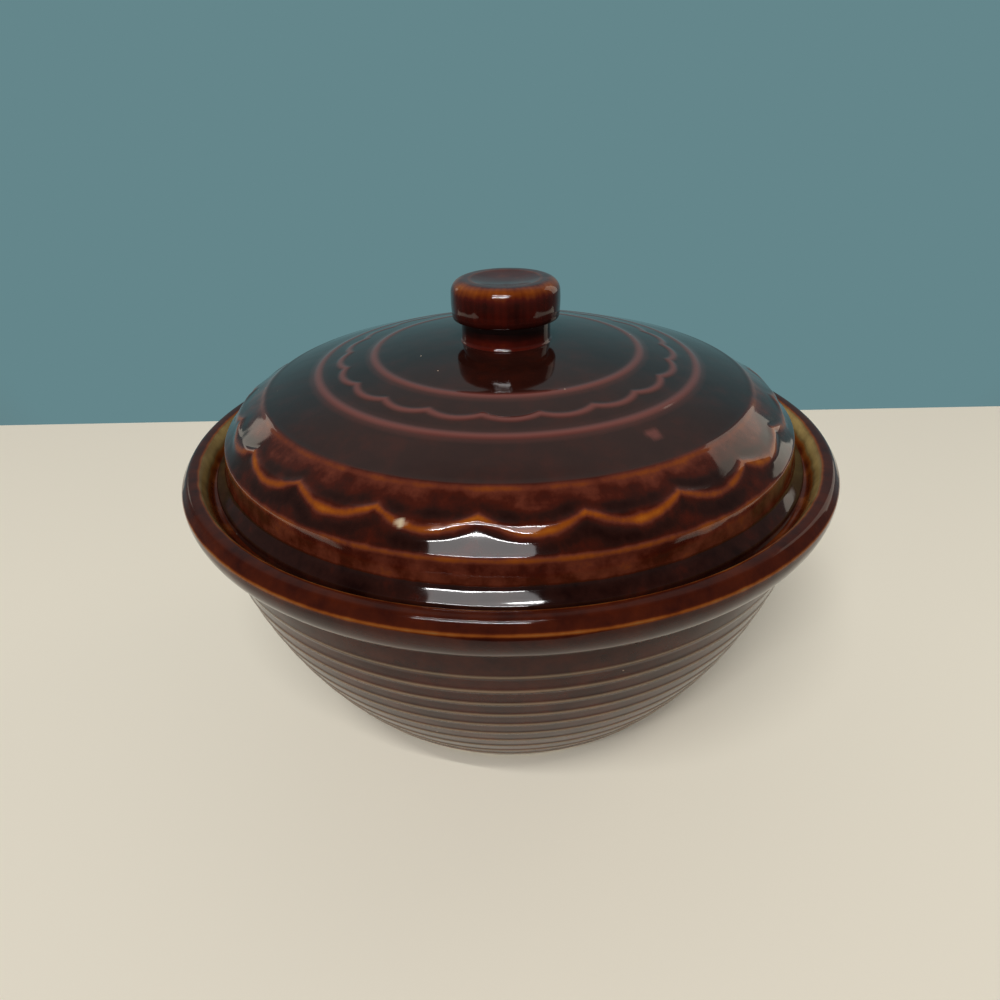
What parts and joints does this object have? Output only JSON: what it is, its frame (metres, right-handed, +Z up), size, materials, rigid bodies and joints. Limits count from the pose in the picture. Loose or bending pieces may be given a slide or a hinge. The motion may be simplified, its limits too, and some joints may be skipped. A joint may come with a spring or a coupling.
{
  "type": "casserole dish",
  "caption": "Round covered casserole dish in dark brown glazed stoneware: a flared ribbed bowl with a rolled rim and a lid ledge, and a loose domed lid with scalloped relief and a disc knob.",
  "frame": {"origin": "centre of the foot ring, on the plane that the dish stands on", "axes": "+Z up along the axis of the bowl and lid, -Y towards the viewer of the picture, +X to the viewer's right"},
  "size_m": [0.235, 0.235, 0.1541],
  "materials": {
    "bowl_glaze": "glossy dark brown glaze that breaks to rust on the rim's edge and the ribs, with a bare foot ring",
    "lid_glaze": "glossy dark brown glaze that breaks to amber and rust on the raised rings and scallops",
    "knob_glaze": "glossy red-brown glaze that breaks to amber on the upper edge"
  },
  "bodies": {
    "bowl": {"bowl": "bowl_glaze"},
    "lid": {"lid": "lid_glaze", "knob": "knob_glaze"}
  },
  "joints": [
    {"name": "lid_lift", "type": "slide", "parent": "bowl", "child": "lid", "axis": [0, 0, 1], "range_m": [0, 0.12]}
  ]
}
